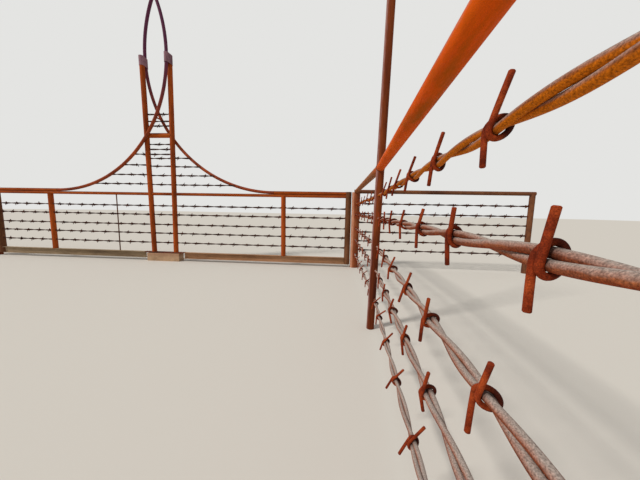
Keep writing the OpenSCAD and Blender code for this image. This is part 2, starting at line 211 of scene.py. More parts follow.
# %% Rusted steel
def rusted_steel(name, bright, middle, dark, weather_and_light=(), drift=None, painted_shade=None,
                 streak=(1.0, 1.0, 1.0), cloud_mm=260, spot_mm=24, grain_mm=2.6,
                 crust=0.35, dark_share=0.42, grit=0.42):
    material = empty_material(name)
    place = add(material, "ShaderNodeTexCoord").outputs["Object"]
    stretched = add(material, "ShaderNodeMapping", {"Vector": place, "Scale": streak})
    clouds = add(material, "ShaderNodeTexNoise", {
        "Vector": stretched.outputs["Vector"], "Scale": scale_for(cloud_mm),
        "Detail": 6.0, "Roughness": 0.62}).outputs["Fac"]
    spots = add(material, "ShaderNodeTexNoise", {
        "Vector": stretched.outputs["Vector"], "Scale": scale_for(spot_mm),
        "Detail": 5.0, "Roughness": 0.65}).outputs["Fac"]
    grain = add(material, "ShaderNodeTexNoise", {
        "Vector": place, "Scale": scale_for(grain_mm),
        "Detail": 3.0, "Roughness": 0.6}).outputs["Fac"]
    cloud_tone = add(material, "ShaderNodeValToRGB", {"Fac": clouds})
    ramp = cloud_tone.color_ramp
    ramp.elements[0].position, ramp.elements[0].color = 0.32, linear(dark)
    ramp.elements[1].position, ramp.elements[1].color = 0.66, linear(bright)
    ramp.elements.new(0.47).color = linear(middle)
    spot_mask = add(material, "ShaderNodeMapRange", {
        "Value": spots, "From Min": 0.46, "From Max": 0.64, "To Min": 0.0, "To Max": dark_share})
    masks = [(spot_mask.outputs["Result"], dark)]
    masks += tone_masks(material, place, spots, clouds, weather_and_light, drift, painted_shade)
    colour = cloud_tone.outputs["Color"]
    for mask, tone in masks:
        mixed = add(material, "ShaderNodeMix", {
            "Factor": mask, "A": colour, "B": linear(tone)}, data_type="RGBA")
        colour = mixed.outputs["Result"]
    crusted(material, colour, spots, grain, crust, grit)
    return material


print("noise scales for 260, 24 and 2.6 mm", [round(scale_for(mm), 1) for mm in (260, 24, 2.6)])

# %% [markdown]
# The pipes are the brightest: drawn pipe with an even orange coat.
# Uprights get streaks along Z, level pipes along X or Y, and the arches only faint ones.
# The upper rails are browner on top. The gate posts and the tall pole are paler on their west
# side, a painted highlight of the sun's lit side, and the wing rail's top has a painted highlight
# too. The arches were rolled hot and kept more of their scale, so they are browner, and turn plum
# in the high loop. The end stiles and the stay are darker, nearly olive, and the panels' frames
# are a plain brown. A weather or light tone is given as its colour, direction, start and end of
# the turn, and share.
# A drift is given as its colour, axis, and start and end in metres.

# %% Rust of the pipes
upright_rust = rusted_steel(
    "rusted_pipe_upright", "#c25a20", "#a44a1a", "#6c3018", streak=(1.0, 1.0, 0.16))
# The pale west tone is a painted highlight of the sun's lit side.
gate_post_rust = rusted_steel(
    "rusted_gate_post", "#a8623c", "#8e4c2c", "#6c3620", streak=(1.0, 1.0, 0.2),
    weather_and_light=(("#dda284", WEST, 0.35, 0.95, 0.85),))
# The pale west tone is a painted highlight of the sun's lit side.
pole_rust = rusted_steel(
    "rusted_tall_pole", "#8a421c", "#6c3016", "#4a2014", streak=(1.0, 1.0, 0.12), cloud_mm=160,
    weather_and_light=(("#ae8680", WEST, 0.6, 1.08, 0.82),))
rail_rust = rusted_steel(
    "rusted_pipe_level", "#c05c1c", "#a64c18", "#743216", streak=(0.2, 1.0, 1.0),
    weather_and_light=(("#6c3820", UP, 0.1, 0.7, 0.7),))
# Its mauve top tone is a painted highlight of the light from above.
wing_rail_rust = rusted_steel(
    "rusted_pipe_wing_rail", "#e86000", "#d85200", "#a45004", streak=(1.0, 0.22, 1.0),
    weather_and_light=(("#b98272", UP, 0.04, 0.5, 0.88),), drift=("#8c5c38", "Y", -3.5, -2.9),
    cloud_mm=130, spot_mm=18, grain_mm=1.6, crust=0.2, dark_share=0.3)
arch_rust = rusted_steel(
    "rusted_pipe_arch", "#b4542a", "#964426", "#663020", streak=(0.6, 1.0, 0.6),
    drift=("#5a304e", "Z", 3.4, 4.9))
stile_rust = rusted_steel(
    "olive_rusted_stile", "#82563a", "#68422a", "#4a3020", streak=(1.0, 1.0, 0.3))
panel_rust = rusted_steel(
    "brown_rusted_frame", "#8a5838", "#6e442e", "#503226", streak=(0.3, 1.0, 0.3))
print("materials so far, with the model's own", len(bpy.data.materials))

# %% [markdown]
# The sleeves on the tower's heads are plate, with the mauve tone that thin scale gives.
# The pivot's steel and the foot plate are a darker rust.
# The bottom beams are rolled sections, brown on the right and greyer on the left. Both are paler
# than their rust, a painted lift of light that makes up for the shade the flanges cast on the web.

# %% Rust of the plates and beams
collar_rust = rusted_steel(
    "mauve_rusted_plate", "#ab828c", "#956f79", "#6e5159", streak=(1.0, 1.0, 0.5))
dark_steel = rusted_steel(
    "dark_rusted_steel", "#7d472f", "#63382a", "#432a25", streak=(1.0, 1.0, 0.3))
# Paler than their rust: painted light for the shaded web.
beam_rust = rusted_steel(
    "brown_rusted_beam", "#c0926e", "#a87e5c", "#74503a", streak=(0.15, 1.0, 1.0))
grey_beam_rust = rusted_steel(
    "grey_rusted_beam", "#b29c80", "#9c866a", "#705c48", streak=(0.15, 1.0, 1.0))
print("materials so far", len(bpy.data.materials))

# %% [markdown]
# The bars of the wing's strands still carry mill scale, the grey skin of hot rolled bar, so their
# rust is thinner and red brown on the flanks. Their pinkish to pale grey tops are partly that
# scale and partly a painted highlight of the light from above. The top strand is ochre underneath.
# The barbs were bent hot, which took the scale off, so they are a deeper red brown. The back of
# each coil and the bars beside it carry a painted shade, nearly black. The gate's and the panels'
# strands are of another batch, rusted nearly black.

# %% Rust of the bars
# The pale tones on top are mill scale, and partly a painted highlight of the light from above.
scale_and_lit_top = (("#a88476", UP, -0.1, 0.42, 0.92), ("#aca39a", UP, 0.5, 0.95, 0.75))
# The near-black tone is painted shade, at the back of the coils and on the bars beside them.
scaled_bar = {"streak": (1.0, 0.35, 1.0), "painted_shade": "#3a1c14", "cloud_mm": 80, "spot_mm": 14,
              "grain_mm": 3.2, "crust": 0.7, "grit": 0.8}
strand_rust = rusted_steel(
    "rusted_bar_with_mill_scale", "#a4603c", "#8a4a30", "#663828",
    weather_and_light=(("#984420", DOWN, 0.25, 0.8, 0.85),) + scale_and_lit_top, dark_share=0.6, **scaled_bar)
ochre_strand_rust = rusted_steel(
    "ochre_rusted_top_bar", "#b26a34", "#9a5428", "#704022",
    weather_and_light=(("#cc6c06", DOWN, -0.1, 0.35, 0.92),) + scale_and_lit_top, dark_share=0.5, **scaled_bar)
# The near-black tone is painted shade at the back of each coil.
barb_rust = rusted_steel(
    "hot_bent_bar_red_rust", "#aa4a20", "#8c3416", "#581f10", painted_shade="#34120c",
    cloud_mm=50, spot_mm=10, grain_mm=2.0, crust=0.5, dark_share=0.5, grit=0.7)
dark_strand_rust = rusted_steel(
    "dark_rusted_bar", "#5c3a2e", "#472d26", "#30211e", streak=(0.3, 1.0, 1.0),
    cloud_mm=90, spot_mm=12, grain_mm=1.8, crust=0.4)
dark_barb_rust = rusted_steel(
    "dark_rusted_barb", "#6b3a28", "#502c22", "#35211c",
    cloud_mm=60, spot_mm=10, grain_mm=1.6, crust=0.4)
weld_rust = rusted_steel(
    "weld_metal", "#8a4a2c", "#6c3a28", "#482a22", cloud_mm=40, spot_mm=8, grain_mm=1.6)
print("materials so far", len(bpy.data.materials))

# %% [markdown]
# ## Cast concrete
# The plinth is a block of site-mixed concrete, tan from the local sand and stained towards its
# top by rust that ran off the gate. Concrete is matt, with sand grains of about 2 mm, drawn
# at 3 mm so that they show, and small air holes about 22 mm apart.

# %% Concrete of the plinth
concrete = empty_material("cast_concrete_rust_stained")
place = add(concrete, "ShaderNodeTexCoord").outputs["Object"]
clouds = add(concrete, "ShaderNodeTexNoise", {
    "Vector": place, "Scale": scale_for(180), "Detail": 5.0, "Roughness": 0.6})
sand = add(concrete, "ShaderNodeTexNoise", {
    "Vector": place, "Scale": scale_for(3), "Detail": 3.0, "Roughness": 0.7}).outputs["Fac"]
holes = add(concrete, "ShaderNodeTexVoronoi", {"Vector": place, "Scale": scale_for(22)})
tone = add(concrete, "ShaderNodeValToRGB", {"Fac": clouds.outputs["Fac"]})
ramp = tone.color_ramp
ramp.elements[0].position, ramp.elements[0].color = 0.34, linear("#a08062")
ramp.elements[1].position, ramp.elements[1].color = 0.66, linear("#bf9c7a")
height = add(concrete, "ShaderNodeSeparateXYZ", {"Vector": place})
stain = add(concrete, "ShaderNodeMapRange", {
    "Value": height.outputs["Z"], "From Min": 0.10, "From Max": 0.21,
    "To Min": 0.0, "To Max": 0.5})
stained = add(concrete, "ShaderNodeMix", {
    "Factor": stain.outputs["Result"], "A": tone.outputs["Color"], "B": linear("#8a5236")},
    data_type="RGBA")
speckle = add(concrete, "ShaderNodeMapRange", {
    "Value": sand, "From Min": 0.3, "From Max": 0.7, "To Min": 0.8, "To Max": 1.15})
sanded = add(concrete, "ShaderNodeMix", {
    "Factor": 1.0, "A": stained.outputs["Result"], "B": speckle.outputs["Result"]},
    data_type="RGBA", blend_type="MULTIPLY")
hole_depth = add(concrete, "ShaderNodeMapRange", {
    "Value": holes.outputs["Distance"], "From Min": 0.05, "From Max": 0.22})
relief = add(concrete, "ShaderNodeMath", {
    0: hole_depth.outputs["Result"], 1: sand}, operation="ADD")
bump = add(concrete, "ShaderNodeBump", {
    "Height": relief.outputs["Value"], "Strength": 0.5, "Distance": 0.002})
surface = add(concrete, "ShaderNodeBsdfPrincipled", {
    "Base Color": sanded.outputs["Result"], "Roughness": 0.9, "Normal": bump.outputs["Normal"]})
add(concrete, "ShaderNodeOutputMaterial", {"Surface": surface.outputs["BSDF"]})
print("materials", len(bpy.data.materials))

# %% [markdown]
# ## Finishes of the CAD pieces
# Posts, rails, arches and beams keep their CAD shape, and each gets the rust of its own place.
# Smooth shading hides the facets of round pipe, and edges sharper than 35 degrees stay crisp.

# %% Give each CAD piece its finish
CRISP_EDGE = math.radians(35)
finishes = {
    concrete: ("plinth",),
    dark_steel: ("pivot_socket", "pivot_pin", "foot_plate"),
    gate_post_rust: ("right_gate_post", "left_gate_post"),
    panel_rust: ("right_panel_rail", "left_panel_rail", "right_panel_post", "left_panel_post"),
    wing_rail_rust: ("wing_rails",),
    pole_rust: ("wing_pole",),
    upright_rust: ("wing_end_post", "left_tower_post", "right_tower_post", "left_mid_post",
                   "right_mid_post"),
    grey_beam_rust: ("left_beam",),
    beam_rust: ("right_beam",),
    rail_rust: ("tower_crossbar", "lower_rail", "upper_rails"),
    collar_rust: ("tower_collars",),
    arch_rust: ("arch_ties", "left_arch", "right_arch"),
    stile_rust: ("left_end_stile", "right_end_stile", "left_stay"),
}
for material, names in finishes.items():
    for name in names:
        mesh = nodes[name].data
        mesh.materials.clear()
        mesh.materials.append(material)
        mesh.shade_smooth()
        mesh.set_sharp_from_angle(angle=CRISP_EDGE)
print("finished", sum(len(names) for names in finishes.values()), "CAD pieces")

# %% [markdown]
# ## Bent bar
# Strands and barbs are both round bar that follows a path, so one function sweeps a circle along
# points. A Blender curve with a bevel could do it too, but a mesh lets the ends be cut square and
# slightly rounded, and it keeps hundreds of bars in one piece. First come the ends: a second ring
# a short step inside each end takes the sharp rim off, as a grinder does on a sawn bar.

# %% Round the ends of a bar
def rounded_ends(path, radius, bevel, painted_shade):
    first_step = (path[1] - path[0]).normalized() * bevel
    last_step = (path[-1] - path[-2]).normalized() * bevel
    path = [path[0], path[0] + first_step] + path[1:-1] + [path[-1] - last_step, path[-1]]
    radii = [radius - bevel] + [radius] * (len(path) - 2) + [radius - bevel]
    return path, radii, [painted_shade[0]] + painted_shade + [painted_shade[-1]]


short_bar = rounded_ends([Vector((0, 0, 0)), Vector((1, 0, 0))], 0.010, 0.002, [0.0, 0.0])
print("a bar with rounded ends has", len(short_bar[0]), "rings with radii", short_bar[1])

# %% [markdown]
# The circle is carried along the path without twisting, by turning its axes only as much as the
# path turns. Each point of a path can carry a painted shade, a darkening where shadow falls, and
# each bar gets one of the piece's finishes.

# %% Sweep a round bar along a path
SAME_POINT = 1e-9


class BarMesh:
    def __init__(self):
        self.points, self.faces, self.painted_shade, self.finish_of = [], [], [], []

    def sweep(self, path, radius, sides, bevel=0.0, radii=None, painted_shade=None, finish=0):
        path = [Vector(p) for p in path]
        radii = radii or [radius] * len(path)
        painted_shade = painted_shade or [0.0] * len(path)
        if bevel > 0:
            path, radii, painted_shade = rounded_ends(path, radius, bevel, painted_shade)
        start = len(self.points)
        along = (path[1] - path[0]).normalized()
        side = along.orthogonal().normalized()
        for i, point in enumerate(path):
            ahead = path[min(i + 1, len(path) - 1)] - path[max(i - 1, 0)]
            if ahead.length > SAME_POINT:
                turned = ahead.normalized()
                side = (along.rotation_difference(turned) @ side).normalized()
                along = turned
            other = along.cross(side)
            for k in range(sides):
                a = 2 * math.pi * k / sides
                self.points.append(point + (side * math.cos(a) + other * math.sin(a)) * radii[i])
                self.painted_shade.append(painted_shade[i])
        for i in range(len(path) - 1):
            for k in range(sides):
                n = (k + 1) % sides
                p = start + i * sides
                self.faces.append((p + k, p + n, p + sides + n, p + sides + k))
        self.faces.append(tuple(start + k for k in reversed(range(sides))))
        last = start + (len(path) - 1) * sides
        self.faces.append(tuple(last + k for k in range(sides)))
        self.finish_of += [finish] * (len(self.faces) - len(self.finish_of))


trial = BarMesh()
trial.sweep([(0, 0, 0), (1, 0, 0)], 0.010, 12)
print("a straight bar has", len(trial.points), "points and", len(trial.faces), "faces")

# %% [markdown]
# A set of bars then becomes one piece. It rides on a body of the model and stands for the plain
# solids that it replaces.

# %% Make a piece from a set of bars
BAR_CRISP_EDGE = math.radians(50)


def make_piece(bars, name, materials, body, slot, *replaced):
    mesh = bpy.data.meshes.new(name)
    mesh.from_pydata([tuple(p) for p in bars.points], [], bars.faces)
    mesh.validate()
    # Each point's painted shade goes to the mesh, for the rust materials to darken.
    marks = mesh.attributes.new("painted_shade", "FLOAT", "POINT")
    marks.data.foreach_set("value", bars.painted_shade)
    mesh.shade_smooth()
    mesh.set_sharp_from_angle(angle=BAR_CRISP_EDGE)
    for material in materials:
        mesh.materials.append(material)
    mesh.polygons.foreach_set("material_index", bars.finish_of)
    obj = bpy.data.objects.new(name, mesh)
    scene.collection.objects.link(obj)
    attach(obj, body)
    if replaced:
        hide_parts(*replaced)
    print(name, sum(len(f) - 2 for f in bars.faces), "triangles")


# %% [markdown]
# ## Twisted strands
# A strand is two bars laid side by side and twisted, half a turn about every 290 mm on the wing. A
# screw modifier could twist them evenly, but on the gate the twist follows the barbs, which aren't
# evenly spaced. So the twist is given as a list of turning points, each a place along the strand
# and an angle there, and the helix is written out between them. A bay is drawn along +X and turned
# to its place by a matrix. Beside a barb the bars carry a painted shade, for the shadow that the
# coil casts on them.

# %% Twisted pair of bars
BAR = 0.020
PAIR_SPREAD = 1.01  # the bars' middles are this many diameters apart, so that they just clear
DEGREES_PER_STEP = 9
# Beside a barb the bars take a painted shade for the coil's shadow, deepest at the coil.
DEEPEST_SHADE, SHADE_LENGTH = 0.9, 0.030


def angle_at(turning, x):
    if x <= turning[0][0]:
        a, b = turning[0], turning[1]
    elif x >= turning[-1][0]:
        a, b = turning[-2], turning[-1]
    else:
        a, b = next(pair for pair in zip(turning, turning[1:]) if x <= pair[1][0])
    return a[1] + (b[1] - a[1]) * (x - a[0]) / (b[0] - a[0])


def twisted_pair(mesh, place, x0, x1, z, turning, sides, barbs=(), finish=0):
    helix = BAR / 2 * PAIR_SPREAD
    turned = abs(angle_at(turning, x1) - angle_at(turning, x0))
    count = max(2, round(turned / DEGREES_PER_STEP))
    for half_turn in (0, 180):
        path, painted_shade = [], []
        for i in range(count + 1):
            x = x0 + (x1 - x0) * i / count
            a = math.radians(angle_at(turning, x) + half_turn)
            path.append(place @ Vector((x, helix * math.cos(a), z + helix * math.sin(a))))
            # Painted shade for the shadow of the nearest coil.
            nearest = min((abs(x - barb) for barb in barbs), default=1.0)
            painted_shade.append(max(0.0, DEEPEST_SHADE - nearest / SHADE_LENGTH))
        mesh.sweep(path, BAR / 2, sides, painted_shade=painted_shade, finish=finish)


print("a pair of bars is", round(1000 * BAR * (1 + PAIR_SPREAD), 1), "mm across")

# %% [markdown]
# ## Wound barbs
# A barb is one piece of thinner bar bent round both bars of the strand.
# Its lower leg comes up the drive side, goes over the top and down behind, under, and leaves
# upwards as the other leg. The coil hugs the pair, so it is an oval that leans as the pair does
# at that place. From its tip a leg runs nearly straight to where it touches the oval.
# That touching point has no short formula for a leaning oval, so a few rounds of correction
# find it.

# %% Oval of the coil
WIRE = 0.013
PLAY_BESIDE, PLAY_ABOVE = 0.002, 0.001  # the coil was wound hot and doesn't hug quite tightly
OVAL_HALF_WIDTH = BAR / 2 + WIRE / 2 + PLAY_BESIDE
OVAL_HALF_HEIGHT = BAR + WIRE / 2 + PLAY_ABOVE
TOUCH_ROUNDS = 12


def leaving(roll):
    return math.atan2(math.sin(roll) * OVAL_HALF_HEIGHT / OVAL_HALF_WIDTH, math.cos(roll))


def on_oval(a):
    return Vector((OVAL_HALF_WIDTH * math.cos(a), OVAL_HALF_HEIGHT * math.sin(a)))


def touching(tip, sign, lean):
    tip, roll = Matrix.Rotation(lean, 2).transposed() @ tip, -lean
    for _ in range(TOUCH_ROUNDS):
        way = sign * (tip - on_oval(math.pi - leaving(roll)))
        roll = math.atan2(way.x, way.y)
    return leaving(roll)


print("coil", round(2000 * OVAL_HALF_WIDTH), "by", round(2000 * OVAL_HALF_HEIGHT), "mm")

# %% [markdown]
# Leg, coil and leg make one path for the sweep. Each leg rolls about the strand by its own angle,
# and its tip is drawn along the strand by up to 34 mm, with a slight bow. The back of the coil,
# away from the drive, carries a painted shade, where the coil is in shadow.

# %% Wound barb
LEG_SHARES = (1.0, 0.62, 0.3, 0.1)
LEG_BOW = 1.15
# How far the painted shade on the back of a coil reaches round to its front.
COIL_SHADE = 0.35
END_BEVEL = WIRE * 0.16


def leg(tip, foot, drawn, sign, advance):
    points = []
    for share in LEG_SHARES:
        bend = (drawn - sign * advance / 2) * share ** LEG_BOW
        y, z = foot.lerp(tip, share)
        points.append(Vector((sign * advance / 2 + bend, y, z)))
    return points


def wound_barb(mesh, place, x, z, sides, coil_steps, up, low, advance, pair_angle=90.0):
    lean = math.radians(pair_angle % 180.0 - 90.0)
    leaning = Matrix.Rotation(lean, 2)
    tips = []
    for (roll, drawn, reach), sign in ((low, -1), (up, 1)):
        roll = math.radians(roll)
        outward = sign * reach * Vector((math.sin(roll), math.cos(roll)))
        tips.append(on_oval(math.pi - leaving(roll)) + outward)
    first = math.pi - touching(tips[0], -1, lean)
    last = -math.pi - touching(tips[1], 1, lean)
    path = leg(tips[0], leaning @ on_oval(first), low[1], -1, advance)
    painted_shade = [0.0] * len(path)
    for i in range(coil_steps + 1):
        y, z_off = leaning @ on_oval(first + (last - first) * i / coil_steps)
        path.append(Vector((advance * (i / coil_steps - 0.5), y, z_off)))
        # Painted shade on the back of the coil, away from the drive.
        painted_shade.append(min(max(COIL_SHADE + y / OVAL_HALF_WIDTH, 0.0), DEEPEST_SHADE))
    path += list(reversed(leg(tips[1], leaning @ on_oval(last), up[1], 1, advance)))
    painted_shade += [0.0] * (len(path) - len(painted_shade))
    middle = Vector((x, 0.0, z))
    mesh.sweep([place @ (p + middle) for p in path], WIRE / 2, sides,
               bevel=END_BEVEL, painted_shade=painted_shade)


trial = BarMesh()
wound_barb(trial, Matrix.Identity(4), 0, 0, 8, 20, (0, 0.015, 0.085), (0, 0.0, 0.085), WIRE)
tops = [p.z for p in trial.points]
print("a barb with 85 mm legs is", round(1000 * (max(tops) - min(tops))), "mm tall")

# %% [markdown]
# ## The wing fence
# Two bays of five strands run from the gate post past the tall pole to the end post.
# The lengths and heights are those of the CAD model, so that each strand replaces its own solid.

# %% Values of the wing fence
GATE_POST_X, WING_BAY = 4.909, 3.286
FAR_ANGLE, NEAR_ANGLE = math.radians(-90 + 0.89), math.radians(-90 - 2.48)
GATE_POST_R, POLE_R, POST_R, STILE_R, RAIL_R = 0.09685, 0.04445, 0.05715, 0.06985, 0.0365
WING_Z = (0.351, 0.698, 0.966, 1.291, 1.540)
far_along = Vector((math.cos(FAR_ANGLE), math.sin(FAR_ANGLE), 0))
near_along = Vector((math.cos(NEAR_ANGLE), math.sin(NEAR_ANGLE), 0))
pole_at = Vector((GATE_POST_X, 0, 0)) + WING_BAY * far_along
far_bay = Matrix.Translation((GATE_POST_X, 0, 0)) @ Matrix.Rotation(FAR_ANGLE, 4, "Z")
near_bay = Matrix.Translation(pole_at) @ Matrix.Rotation(NEAR_ANGLE, 4, "Z")
print("tall pole at", [round(v, 3) for v in pole_at])

# %% [markdown]
# In the near bay the barbs stand where they were measured, strand by strand from the lowest:
# the place along the bay in metres, then roll in degrees, draw and reach in millimetres,
# first of the upper leg and then of the lower one.
# The twist was measured too. For each strand it is given by a place where the pair lies along
# the line of sight, its angle there in degrees, and the length of half a turn. That angle is
# how far the camera looks down or up at the strand.

# %% Measured barbs and twist of the near bay
MEASURED_BARBS = (
    ((0.507, 48, 16, 85, 8, -1, 81), (0.971, 41, 14, 86, 18, 0, 83),
     (1.428, 34, 15, 84, 33, 0, 84), (1.833, 38, 8, 88, 30, 5, 88)),
    ((0.817, 5, 20, 79, 1, -3, 77), (1.193, 10, 16, 83, -8, 1, 84),
     (1.585, 11, 17, 82, -7, -1, 81), (1.969, 8, 15, 84, -6, -5, 79)),
    ((0.711, 3, 17, 82, 7, 0, 82), (1.106, 16, 17, 81, 9, 0, 82),
     (1.568, 17, 16, 84, 17, 1, 87), (1.944, 2, 12, 86, 10, 4, 92),
     (2.335, 7, 14, 85, 13, 6, 93)),
    ((0.724, -8, 16, 80, 7, 0, 81), (1.016, 1, 16, 81, 1, 0, 85),
     (1.406, 6, 17, 79, 2, 0, 84), (1.762, 9, 16, 80, 2, 0, 85),
     (2.099, 3, 16, 83, -2, 0, 85), (2.455, 6, 13, 77, 6, 4, 90)),
    ((0.831, 11, 17, 85, 10, 0, 84), (1.161, 13, 18, 88, 16, -1, 87),
     (1.537, 12, 19, 88, 13, -1, 85), (1.907, 13, 21, 90, 6, -3, 89),
     (2.277, 10, 32, 92, 4, -3, 86)),
)
MEASURED_TWIST = ((1.770, -71, 0.300), (2.130, -63, 0.285), (2.360, -50, 0.290),
                  (2.285, -11, 0.305), (2.300, 30, 0.290))
print("measured barbs", sum(len(row) for row in MEASURED_BARBS))

# %% [markdown]
# The wing's other barbs go on at about the same spacing, with legs that differ from the measured
# ones by a few degrees and millimetres, as a fence maker's do.

# %% Places of the wing's barbs
ROLL_SPREAD, DRAW_SPREAD, REACH_SPREAD = 7, 5, 4
PITCH_BEFORE, PITCH_AFTER, START_MARGIN, END_MARGIN = 0.37, 0.39, 0.105, 0.117
FAR_FIRST = (0.160, 0.370, 0.270, 0.210, 0.280)
FAR_PITCH, FAR_COUNT, FAR_LAST, FAR_SPREAD = 0.4, 8, 3.170, 0.02


def barb_like(kind, x, chance):
    legs = [value + chance.uniform(-spread, spread) for value, spread in zip(
        kind[1:], (ROLL_SPREAD, DRAW_SPREAD, REACH_SPREAD) * 2)]
    return (x, *legs)


def near_barbs(measured, chance):
    barbs = list(measured)
    while barbs[0][0] > START_MARGIN + PITCH_BEFORE:
        barbs.insert(0, barb_like(barbs[0], barbs[0][0] - PITCH_BEFORE, chance))
    while barbs[-1][0] < WING_BAY - END_MARGIN - PITCH_AFTER:
        barbs.append(barb_like(measured[-1], barbs[-1][0] + PITCH_AFTER, chance))
    return barbs


def far_barbs(measured, first, chance):
    places = [first + FAR_PITCH * i for i in range(FAR_COUNT)]
    return [barb_like(measured[0], x + chance.uniform(-FAR_SPREAD, FAR_SPREAD), chance)
            for x in places if x < FAR_LAST]


counts = [len(near_barbs(row, random.Random("count"))) for row in MEASURED_BARBS]
print("barbs on the strands of the near bay", counts)

# %% [markdown]
# The top strand takes the ochre finish, and the four below it the scaled one.
# The far bay is seen end on, so its twist starts anywhere. A coil's two ends lie a little more
# than the wire's own thickness apart along the strand, because it can't pass through itself.

# %% Wing strands and barbs
FAR_HALF_TURN, FAR_TURN_START = 0.290, (0, 0.3)
WING_BAR_SIDES, WING_WIRE_SIDES, WING_COIL_STEPS = 14, 16, 40
WING_ADVANCE = (1.15, 1.35)


def even_twist(x, angle, half_turn):
    return [(x, angle), (x + half_turn, angle - 180)]


for label, place, x0, x1 in (("far", far_bay, GATE_POST_R, WING_BAY - POLE_R),
                             ("near", near_bay, POLE_R, WING_BAY - POST_R)):
    strands, barbs = BarMesh(), BarMesh()
    chance = random.Random(label)
    for i, z in enumerate(WING_Z):
        if label == "near":
            row = near_barbs(MEASURED_BARBS[i], chance)
            turning = even_twist(*MEASURED_TWIST[i])
        else:
            row = far_barbs(MEASURED_BARBS[i], FAR_FIRST[i], chance)
            turning = even_twist(chance.uniform(*FAR_TURN_START), 90, FAR_HALF_TURN)
        twisted_pair(strands, place, x0, x1, z, turning, WING_BAR_SIDES,
                     [barb[0] for barb in row], int(z == WING_Z[-1]))
        for x, roll_up, draw_up, reach_up, roll_low, draw_low, reach_low in row:
            wound_barb(barbs, place, x, z, WING_WIRE_SIDES, WING_COIL_STEPS,
                       (roll_up, draw_up / 1000, reach_up / 1000),
                       (roll_low, draw_low / 1000, reach_low / 1000),
                       WIRE * chance.uniform(*WING_ADVANCE), angle_at(turning, x))
    make_piece(strands, "wing_bars_" + label, (strand_rust, ochre_strand_rust),
               "root", "strand_rust", "wing_strands_" + label)
    make_piece(barbs, "wing_wound_barbs_" + label, (barb_rust,),
               "root", "barb_rust", "wing_barbs_" + label)

# %% [markdown]
# ## Strands of the gate and the panels
# They run from post to post in both arms, between the tower posts and out to each arch.
# The panels beside the gate posts carry the same strands. The tower posts lean apart going up,
# so the free length between them is worked out for each strand's height. The barbs here are cut
# shorter and lie flatter than the wing's: from the drive they are little more than knots.

# %% Values of the gate's strands
MID_POST_X, ARM, STAY_X = 3.137, 4.730, -1.285
FOOT_HALF, TOWER_SLOPE, BEAM_TOP = 0.297, 0.012359, 0.226
GATE_Z = (0.471, 0.716, 0.941, 1.196, 1.421)
GATE_PITCH = 0.325
GATE_FIRST = (0.200, 0.120, 0.260, 0.060, 0.180)
GATE_BAR_SIDES, GATE_WIRE_SIDES, GATE_COIL_STEPS = 8, 8, 20
GATE_ROLL, GATE_DRAW, GATE_REACH = 20, (0.010, 0.034), (0.040, 0.056)
GATE_ADVANCE = (1.4, 1.9)
HERE = Matrix.Identity(4)


def tower_x(z):
    return FOOT_HALF + (z - BEAM_TOP) * TOWER_SLOPE


def gate_barb(barbs, place, x, z, chance):
    up = (chance.uniform(-GATE_ROLL, GATE_ROLL), chance.uniform(*GATE_DRAW),
          chance.uniform(*GATE_REACH))
    low = (chance.uniform(-GATE_ROLL, GATE_ROLL), -chance.uniform(*GATE_DRAW),
           chance.uniform(*GATE_REACH))
    wound_barb(barbs, place, x, z, GATE_WIRE_SIDES, GATE_COIL_STEPS, up, low,
               WIRE * chance.uniform(*GATE_ADVANCE))


print("tower posts stand", round(2 * tower_x(BEAM_TOP), 3), "m apart at the foot")

# %% [markdown]
# Each span gets its barbs by the pitch of the CAD model, moved by up to 25 mm, because they were
# spaced by eye, and the pair makes half a turn from barb to barb. Where the thin stay or an arch
# pipe is welded to a strand, the pair lies upright, one bar above the other, so an extra turning
# point is put in there.

# %% One span of strand with its barbs
SPAN_MARGIN, BY_EYE = 0.045, 0.025
WELD_CLEAR_OF_TURN, WELD_CLEAR_OF_BARB = 0.06, 0.070


def half_turn_per_barb(places):
    return [(x, 90 - 180 * i) for i, x in enumerate(places)]


def upright_at(turning, x):
    level = 90 + 180 * round((angle_at(turning, x) - 90) / 180)
    kept = [point for point in turning if abs(point[0] - x) > WELD_CLEAR_OF_TURN]
    return sorted(kept + [(x, level)])


def span(strands, barbs, place, x0, x1, z, first, chance, barb_end=None, upright=None):
    places, x = [], x0 + first
    while x <= (barb_end or x1) - SPAN_MARGIN:
        if x > x0 + SPAN_MARGIN:
            places.append(x + chance.uniform(-BY_EYE, BY_EYE))
        x += GATE_PITCH
    turning = even_twist(x0, 90, GATE_PITCH)
    if len(places) > 1:
        turning = half_turn_per_barb(places)
    if upright is not None and x0 < upright <= x1:
        turning = upright_at(turning, upright)
        places = [x for x in places if abs(x - upright) > WELD_CLEAR_OF_BARB]
    twisted_pair(strands, place, x0, x1, z, turning, GATE_BAR_SIDES)
    for x in places:
        gate_barb(barbs, place, x, z, chance)


print("barbs stand", round(1000 * (GATE_PITCH - 2 * BY_EYE)), "mm apart at least")

# %% [markdown]
# The strands under an arch run from the outer face of a tower post to the near side of the arch
# pipe. The pipe stands off the middle plane, more so nearer the tower, so each of these strands
# is turned a little in plan.

# %% Spans under the arches
ARCH_R, ARCH_START, TOP_RAIL_Z, CROSSBAR_Z = 3.260, 2.896, 1.7935, 3.155
ARCH_Z = TOP_RAIL_Z + ARCH_R
ARCH_PLAY = 0.0003  # an arch passes the tower post this close without touching it
ARCH_TURN = math.asin((POST_R + RAIL_R + ARCH_PLAY) / (ARCH_START - tower_x(CROSSBAR_Z)))
RIGHT_ARCH_Z = (1.950, 2.180, 2.400, 2.610)
LEFT_ARCH_Z = (1.970, 2.200, 2.440, 2.700)
PIPE_OVERHANG, PIPE_CLEARANCE, PIPE_GAP = 0.010, 0.13, 0.001


